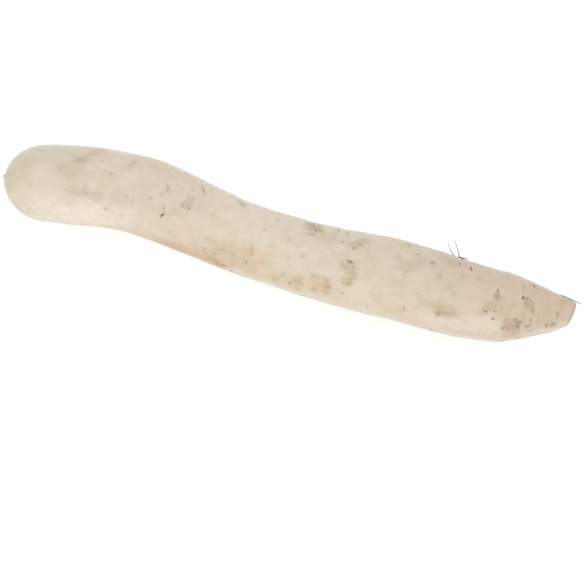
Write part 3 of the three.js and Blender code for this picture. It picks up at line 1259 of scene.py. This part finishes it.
@dataclass(frozen=True)
class OpalSheet:
    """White opal acrylic, lit a little from below: matt, even and bright, with faint shadows."""

    colour: str = "b7b7b7"
    glow: float = 0.62

    def dress(self, piece: bpy.types.Object) -> None:
        """Makes the material and puts it on a piece.

        Args:
            piece: the floor.
        """
        glow = {"Emission Color": linear("ffffff"), "Emission Strength": self.glow}
        Paint("opal_acrylic", self.colour).finish(
            piece, {"Roughness": 0.95, "Specular IOR Level": 0.1, **glow}
        )


@dataclass(frozen=True)
class ScarLook:
    """How a small mark changes from its middle outwards, where a distance of 1 is its edge.

    Pairs for a lip or a line are its place and its width. The other pairs are the values that
    a change starts and ends at.
    """

    slit_depth: float = 0.05  # of the faintest, in millimetres
    slit_growth: float = 0.35  # and how much deeper the blackest is
    ring_depth: float = 0.12
    nub_height: float = 0.6
    relief_margin: float = 0.2  # moves the edge out for the relief, in millimetres
    tone_margin: float = 0.1  # and this much for the tone
    lip: tuple[float, float] = (1.7, 0.55)  # raised round a slit
    lip_height: float = 0.4  # as a share of the slit's depth
    dark: tuple[float, float] = (1.35, 0.5)  # of a slit or a nub, from the skin inwards
    halo: tuple[float, float] = (3.0, 1.0)  # the faint brown round it
    halo_tone: float = 0.15
    # Painted highlight where light catches the raised lip round a dark slit.
    pale_lip: tuple[float, float] = (1.9, 0.4)
    pale_tones: tuple[float, float] = (0.6, 1.0)  # only slits as dark as this get the painted highlight on their lip
    line: tuple[float, float] = (1.0, 0.38)  # round a ring
    line_tone: float = 0.65
    line_breaks: float = 0.35  # how much its tone changes round it
    line_waves: float = 3.0  # and how often, in radians of a wave over the mark's width
    pale_middle: float = 0.6  # of a ring
    middle_width: float = 0.5
    # The pale places are the painted highlights on lips and the pale middles of rings.
    paleness: float = 0.3  # of the pale places, which only show
    pale_below: float = 0.5  # where the tone is less than this

    def depth(self, scar: Scar) -> float:
        """How far a mark is sunk, in millimetres, or below 0 where it stands out."""
        slit = self.slit_depth + self.slit_growth * scar.tone
        return {Trace.SLIT: slit, Trace.RING: self.ring_depth, Trace.NUB: -self.nub_height}[scar.trace]


@dataclass
class RadishRoot:
    """The root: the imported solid's shape, with the relief and the marks of real skin."""

    solid: bpy.types.Object
    spine: Spine
    name: str = "radish_skin_and_flesh"
    rounding: int = 2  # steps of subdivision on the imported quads
    pole_sides: int = 12  # a vertex with more edges than this is the middle of an end
    flat_enough: float = math.radians(40)  # two triangles that bend less than this make a quad
    square_enough: float = math.radians(60)  # where its corners are no further than this off square
    sharp: float = math.radians(28)  # edges that bend more than this stay crisp: those of the cut
    crispness: float = 0.75
    near_floor: float = 1.4  # the relief fades out over this height above the floor
    swells: Grain = Grain((30.0, 24.0, 24.0), 3.7, 0.22)  # broad swellings
    lumps: Grain = Grain((6.0, 5.0, 5.0), 8.2, 0.05)  # small unevenness
    rings: Grain = Grain((2.4, 15.0, 15.0), 1.3, 0.08)  # growth rings
    ringed: Grain = Grain((26.0, 18.0, 18.0), 6.4)  # where they show
    rings_from: tuple[float, float] = (-0.25, 0.35)  # they fade in between these values of it
    end_rings: float = 0.6  # how much stronger they are near the ends
    creases: Grain = Grain((3.4, 9.0, 9.0), 4.9, 0.16)  # round the tail, where it has dried
    shrunken: float = 1.6  # how much stronger the small unevenness is there
    crown_end: tuple[float, float] = (60.0, 15.0)  # more rings show nearer to the crown than this
    tail_end: tuple[float, float] = (-90.0, -25.0)  # and past this, from the tail's tip
    ragged: tuple[Grain, ...] = (Grain((8.0, 7.0, 7.0), 2.9, 0.5), Grain(3.0, 7.7, 0.4))  # stains' edges
    refine_reach: tuple[float, ...] = (1.4, 0.6)  # each split goes this far past a scar
    look: ScarLook = ScarLook()

    def build(self) -> bpy.types.Object:
        """Makes the root.

        Returns:
            The finished piece, without its material.
        """
        piece = bpy.data.objects.new(self.name, self._refined())
        bpy.context.scene.collection.objects.link(piece)
        marks = Markings(self.spine.length)
        for reach in self.refine_reach:
            self._refine_near(piece.data, marks.scars, reach)
        surface = Surface.of(piece.data, self.spine)
        crown, cut = Crown(surface), CutTail(surface, self.spine.length)
        self._paint(piece.data, surface, marks, crown, cut)
        self._press_out(piece.data, surface, self._relief(surface, marks, crown, cut))
        piece.data.shade_smooth()
        return piece

    def _refined(self) -> bpy.types.Mesh:
        """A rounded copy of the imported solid, in quads of about a millimetre.

        Returns:
            The mesh.
        """
        mesh = merged_copy(self.solid)
        fans = {f for v in mesh.verts if len(v.link_edges) > self.pole_sides for f in v.link_faces}
        bmesh.ops.join_triangles(
            mesh,
            faces=[f for f in mesh.faces if f not in fans],
            angle_face_threshold=self.flat_enough,
            angle_shape_threshold=self.square_enough,
        )
        crease = mesh.edges.layers.float.new("crease_edge")
        for edge in mesh.edges:
            if len(edge.link_faces) == 2 and edge.calc_face_angle() > self.sharp:
                edge[crease] = self.crispness
        rough = add_object(mesh, "rough")
        rounding = rough.modifiers.new("rounding", "SUBSURF")
        rounding.levels = self.rounding
        rounding.render_levels = self.rounding
        bpy.context.view_layer.update()
        evaluated = rough.evaluated_get(bpy.context.evaluated_depsgraph_get())
        refined = bpy.data.meshes.new_from_object(evaluated)
        bpy.data.objects.remove(rough)
        refined.name = self.name
        refined.materials.clear()
        return refined

    def _refine_near(self, data: bpy.types.Mesh, scars: list[Scar], reach: float) -> None:
        """Splits the faces once more where a scar's relief needs them.

        Args:
            data: the refined mesh.
            scars: the small marks.
            reach: how far past a scar's ends it goes, in millimetres.
        """
        surface = Surface.of(data, self.spine)
        close = np.zeros(len(surface.along), bool)
        for scar in scars:
            close |= np.hypot(*surface.offsets(scar)) < scar.length / 2 + reach
        mesh = bmesh.new()
        mesh.from_mesh(data)
        edges = [e for e in mesh.edges if close[e.verts[0].index] and close[e.verts[1].index]]
        bmesh.ops.subdivide_edges(mesh, edges=edges, cuts=1, use_grid_fill=True)
        mesh.to_mesh(data)
        mesh.free()

    def _relief(self, surface: Surface, marks: Markings, crown: Crown, cut: CutTail) -> np.ndarray:
        """How far each vertex is moved outwards.

        Args:
            surface: the root's vertices.
            marks: its patches and scars.
            crown: the trimmed top.
            cut: the cut tail.

        Returns:
            Millimetres for each vertex.
        """
        points, lumps = surface.points, self.lumps.at(surface.points)
        near_tail = smooth(*self.tail_end, surface.along - self.spine.length)
        near_ends = smooth(*self.crown_end, surface.along) + near_tail
        ringed = smooth(*self.rings_from, self.ringed.at(points)) + self.end_rings * near_ends
        dried = self.creases.at(points) + self.shrunken * lumps
        skin = self.swells.at(points) + lumps + self.rings.at(points) * ringed + near_tail * dried
        for bulge in BULGES:
            skin += bulge.height * hump(surface.distance(bulge))
        skin = skin * (1 - cut.mask)
        for scar in marks.scars:
            far = surface.distance(scar, self.look.relief_margin)
            lip = self.look.lip_height * hump(far, *self.look.lip) * (scar.trace is Trace.SLIT)
            skin += self.look.depth(scar) * (lip - hump(far))
        return skin + crown.relief() + cut.relief()

    def _press_out(self, data: bpy.types.Mesh, surface: Surface, relief: np.ndarray) -> None:
        """Moves the vertices by the relief, and keeps the underside flat on the floor.

        Args:
            data: the mesh to move.
            surface: its vertices.
            relief: millimetres outwards for each.
        """
        height = surface.points[:, 2]
        moved = surface.points + surface.normals * (relief * smooth(0.0, self.near_floor, height))[:, None]
        moved[:, 2] = np.maximum(moved[:, 2], 0.0)
        data.vertices.foreach_set("co", (moved * MM).ravel())
        data.update()

    def _paint(
        self, data: bpy.types.Mesh, surface: Surface, marks: Markings, crown: Crown, cut: CutTail
    ) -> None:
        """Writes the attributes that the material reads.

        Args:
            data: the mesh.
            surface: its vertices.
            marks: the patches and scars.
            crown: the trimmed top.
            cut: the cut tail.
        """
        ragged = sum(grain.at(surface.points) for grain in self.ragged)
        values = {"along": surface.along / self.spine.length}
        for stain, patches in marks.patches.items():
            values[stain.attribute] = self._stained(surface, patches, ragged)
        values["scar"], values["lit_lips_and_pale_middles"] = self._scarred(surface, marks.scars)
        values |= {"crown_scar": crown.mask(), "crown_dark": crown.dark()}
        values |= {"flesh": cut.mask, "dried": cut.dried, "vessels": cut.vessels()}
        for name, value in values.items():
            attribute = data.attributes.new(name, "FLOAT", "POINT")
            attribute.data.foreach_set("value", value.astype(np.float32))

    @staticmethod
    def _stained(surface: Surface, patches: list[Patch], ragged: np.ndarray) -> np.ndarray:
        """How strongly one kind of stain, or of painted light or shade, shows.

        Args:
            surface: the root's vertices.
            patches: the stained patches.
            ragged: how far each vertex strays in or out of a patch.

        Returns:
            A share for each vertex.
        """
        clean = np.ones(len(surface.along))
        for patch in patches:
            far = surface.distance(patch) + ragged
            clean *= 1 - patch.strength * smooth(1 + patch.softness, 1 - patch.softness, far)
        return 1 - clean

    def _scarred(self, surface: Surface, scars: list[Scar]) -> tuple[np.ndarray, np.ndarray]:
        """How dark the small marks are.

        Args:
            surface: the root's vertices.
            scars: the small marks.

        Returns:
            The tone of each vertex, and a share for the painted highlight on the lips of the deepest marks
            and for the pale middles of rings.
        """
        look, tone, lit_lips_and_pale_middles = self.look, np.zeros(len(surface.along)), np.zeros(len(surface.along))
        for scar in scars:
            far = surface.distance(scar, look.tone_margin)
            if scar.trace is Trace.RING:
                waves = look.line_waves * surface.turn * surface.radius / scar.width + surface.along
                mark = hump(far, *look.line) * (look.line_tone + look.line_breaks * np.sin(waves))
                pale = look.pale_middle * hump(far, 0.0, look.middle_width)
            else:
                mark = smooth(*look.dark, far) + look.halo_tone * smooth(*look.halo, far)
                pale = smooth(*look.pale_tones, scar.tone) * hump(far, *look.pale_lip)
            lit_lips_and_pale_middles = np.maximum(lit_lips_and_pale_middles, pale)
            tone = np.maximum(tone, scar.tone * mark)
        return tone, look.paleness * lit_lips_and_pale_middles * (tone < look.pale_below)


CLEAR_OF_ROOT = 0.1  # further than this from the spine is outside the skin, in metres


@dataclass(frozen=True)
class HairRoot:
    """One dry hair root: a tapered thread that leaves the skin and bends, in millimetres."""

    name: str
    along: float  # where it leaves the skin
    turn: float
    length: float
    thickness: float
    lift: float  # degrees off the skin where it starts
    sweep: float  # the way it leans: 0 to the tail, 90 down the front, 180 to the crown
    curl: float  # degrees that it bends, back towards the skin
    wander: float  # the most that it turns aside at each step, in degrees
    taper: float = 0.55  # how much of its thickness it loses by the tip
    proud: float = 0.3  # where it lies on the skin, its middle stands out this share of its radius
    waves: float = 9.0  # how much wandering there is from foot to tip, in radians of a wave
    steps: int = 14
    sides: int = 6

    def build(self, spine: Spine, skin: bpy.types.Object) -> bpy.types.Object:
        """Makes the thread.

        Args:
            spine: the root's middle line.
            skin: the finished root, for where the surface is.

        Returns:
            The piece, without its material.
        """
        foot, out, ahead = self._foot(spine, skin)
        lift, bend = math.radians(self.lift), math.radians(self.curl) / self.steps
        lean = Quaternion(out, -math.radians(self.sweep)) @ ahead
        aim = lean * math.cos(lift) + out * math.sin(lift)
        heading, side = aim, out.cross(lean)
        radius, stride = self.thickness / 2 * MM, self.length / self.steps * MM
        spot = foot - out * radius
        mesh = bmesh.new()
        ring = bmesh.ops.create_circle(mesh, cap_ends=True, segments=self.sides, radius=radius)["verts"]
        facing = heading.to_track_quat("Z", "Y").to_matrix().to_4x4()
        bmesh.ops.transform(mesh, matrix=Matrix.Translation(spot) @ facing, verts=ring)
        face = next(iter(ring[0].link_faces))
        for i in range(self.steps):
            # The next point: bent a little further, and never under the skin.
            share = (i + 1) / self.steps
            sway = math.radians(self.wander) * math.cos(share * self.waves)
            aim = Quaternion(side, bend) @ Quaternion(out, sway) @ aim
            goal = self._clear_of(skin, spot + aim * stride, self.proud * radius)
            step = goal - spot
            # The thread's end is drawn out to it, narrowed and turned square to the way.
            made = bmesh.ops.extrude_face_region(mesh, geom=[face])["geom"]
            bmesh.ops.delete(mesh, geom=[face], context="FACES_ONLY")
            ring = [v for v in made if isinstance(v, bmesh.types.BMVert)]
            face = next(f for f in made if isinstance(f, bmesh.types.BMFace))
            narrower = (1 - self.taper * share) / (1 - self.taper * (share - 1 / self.steps))
            turned = heading.rotation_difference(step).to_matrix()
            bmesh.ops.scale(mesh, vec=(narrower,) * 3, space=Matrix.Translation(-spot), verts=ring)
            bmesh.ops.rotate(mesh, cent=spot, matrix=turned, verts=ring)
            bmesh.ops.translate(mesh, vec=step, verts=ring)
            spot, heading = goal, step.normalized()
        bmesh.ops.recalc_face_normals(mesh, faces=mesh.faces)
        piece = add_object(mesh, self.name)
        piece.data.shade_smooth()
        return piece

    @staticmethod
    def _clear_of(skin: bpy.types.Object, spot: Vector, gap: float) -> Vector:
        """Lifts a point of the thread off the skin where it would sink in.

        Args:
            skin: the finished root.
            spot: the point.
            gap: how far above the skin it has to be, in metres.

        Returns:
            The point, moved straight out of the skin if it was too deep.
        """
        found, nearest, normal, _ = skin.closest_point_on_mesh(spot)
        sunk = gap - (spot - nearest).dot(normal)
        return spot + normal * sunk if found and sunk > 0 else spot

    def _foot(self, spine: Spine, skin: bpy.types.Object) -> tuple[Vector, Vector, Vector]:
        """Where the thread leaves the skin.

        Args:
            spine: the root's middle line.
            skin: the finished root.

        Returns:
            The point, the direction straight out, and the direction to the tail.
        """
        at = np.array([self.along])
        front, up = spine.across(at)
        turn = math.radians(self.turn)
        outwards = Vector((front[0] * math.sin(turn) + up[0] * math.cos(turn)).tolist())
        middle = Vector(spine.centre(at)[0].tolist()) * MM
        hit, foot, normal, _ = skin.ray_cast(middle + outwards * CLEAR_OF_ROOT, -outwards)
        if not hit:
            raise ValueError(f"{self.name} has no skin to grow from")
        ahead = Vector(spine.heading(at)[0].tolist())
        return foot, normal, (ahead - normal * ahead.dot(normal)).normalized()


# Name, along, turn, length, thickness, lift, sweep, curl, wander, and the last one's taper.
HAIR_ROOTS: list[HairRoot] = [
    HairRoot("hair_root_tall", 319.5, -55, 12.8, 0.66, 66, 165, 16, 4.0),
    HairRoot("hair_root_beside", 315.8, -57, 10.0, 0.62, 30, 190, -28, 3.2),
    HairRoot("hair_root_lying", 318.5, -54, 7.0, 0.9, 8, 0, 4, 1.6),
    HairRoot("hair_root_tail", 396, -52, 14.8, 0.62, 4, 0, 0, 1.2, 0.2),
]


def towards(azimuth: float, elevation: float) -> Vector:
    """The direction to something seen that far round from the front, and that high, in degrees."""
    around, up = math.radians(azimuth), math.radians(elevation)
    return Vector((math.sin(around) * math.cos(up), -math.cos(around) * math.cos(up), math.sin(up)))


@dataclass(frozen=True)
class Softbox:
    """A square light that faces the root, in metres and degrees."""

    name: str
    azimuth: float  # where it stands, round from the front to the right
    elevation: float
    away: float
    size: float
    power: float  # in watts

    def build(self, middle: Vector) -> None:
        """Sets the light up.

        Args:
            middle: the middle of the root.
        """
        lamp = bpy.data.lights.new(self.name, "AREA")
        lamp.size = self.size
        lamp.energy = self.power
        light = bpy.data.objects.new(self.name, lamp)
        bpy.context.scene.collection.objects.link(light)
        direction = towards(self.azimuth, self.elevation)
        light.location = middle + direction * self.away
        light.rotation_euler = direction.to_track_quat("Z", "Y").to_euler()


@dataclass
class Studio:
    """The floor, the lights and the camera, in metres and degrees."""

    middle: Vector  # of the root
    azimuth: float = 14.5  # the camera's, round from the front to the right
    elevation: float = 60.0
    distance: float = 1.4
    picture_width: float = 0.3985  # what the picture spans at the root's distance
    aim_right: float = 0.00564  # the camera looks this far to the right of the root's middle
    aim_down: float = 0.03468  # and this far below it
    sensor: float = 36.0  # in millimetres
    floor_size: float = 12.0
    lights: tuple[Softbox, ...] = (
        Softbox("key_light", azimuth=-15, elevation=45, away=1.9, size=1.5, power=6.4),
        Softbox("fill_light", azimuth=60, elevation=35, away=2.0, size=1.6, power=2.0),
    )
    sky: tuple[float, float] = (0.94, 0.97)  # how bright it is in front and behind

    def build(self) -> None:
        """Makes the floor, the lights and the camera."""
        self._floor()
        for light in self.lights:
            light.build(self.middle)
        self._sky()
        self._camera()
        bpy.context.scene.view_settings.view_transform = "Standard"

    def _floor(self) -> None:
        """A wide sheet at the height that the root rests on."""
        mesh = bmesh.new()
        bmesh.ops.create_grid(mesh, x_segments=1, y_segments=1, size=self.floor_size / 2)
        floor = add_object(mesh, "opal_floor")
        OpalSheet().dress(floor)

    def _sky(self) -> None:
        """White light from all round, a little brighter behind than in front."""
        world = bpy.data.worlds.new("studio")
        world.use_nodes = True
        tree = world.node_tree
        tree.nodes.clear()
        way = add_node(tree, "TexCoord").outputs["Generated"]
        back = add_node(tree, "SeparateXYZ", {"Vector": way}).outputs["Y"]
        front, behind = self.sky
        inputs = {"Value": back, "From Min": -1.0, "From Max": 1.0, "To Min": front, "To Max": behind}
        strength = add_node(tree, "MapRange", inputs).outputs[0]
        light = add_node(tree, "Background", {"Color": linear("ffffff"), "Strength": strength})
        add_node(tree, "OutputWorld", {"Surface": light.outputs["Background"]})
        bpy.context.scene.world = world

    def _camera(self) -> None:
        """The camera, above and a little to the right of the front."""
        lens = bpy.data.cameras.new("camera")
        lens.sensor_width = self.sensor
        lens.lens = self.sensor * self.distance / self.picture_width
        camera = bpy.data.objects.new("camera", lens)
        bpy.context.scene.collection.objects.link(camera)
        direction = towards(self.azimuth, self.elevation)
        turn = direction.to_track_quat("Z", "Y")
        right, up = turn @ Vector((1, 0, 0)), turn @ Vector((0, 1, 0))
        aim = self.middle + right * self.aim_right - up * self.aim_down
        camera.location = aim + direction * self.distance
        camera.rotation_euler = turn.to_euler()
        bpy.context.scene.camera = camera


def settle(piece: bpy.types.Object, dress: Callable[[bpy.types.Object], None]) -> None:
    """Dresses a finished piece, and hands it to the frame.

    Args:
        piece: the finished piece.
        dress: puts the material on the piece.
    """
    dress(piece)
    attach(piece, BODY)
    log.info("%s: %d faces", piece.name, len(piece.data.polygons))


def main() -> None:
    """Builds the root, its hair roots and the studio."""
    logging.basicConfig(level=logging.INFO, format="%(name)s: %(message)s")
    spine = Spine(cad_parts[NODE])
    low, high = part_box(NODE)
    Studio((low + high) / 2).build()
    root = RadishRoot(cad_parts[NODE], spine).build()
    settle(root, RawSkin().dress)
    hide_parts(NODE)
    for hair in HAIR_ROOTS:
        settle(hair.build(spine, root), DryRoot().dress)


if __name__ == "__main__":
    main()
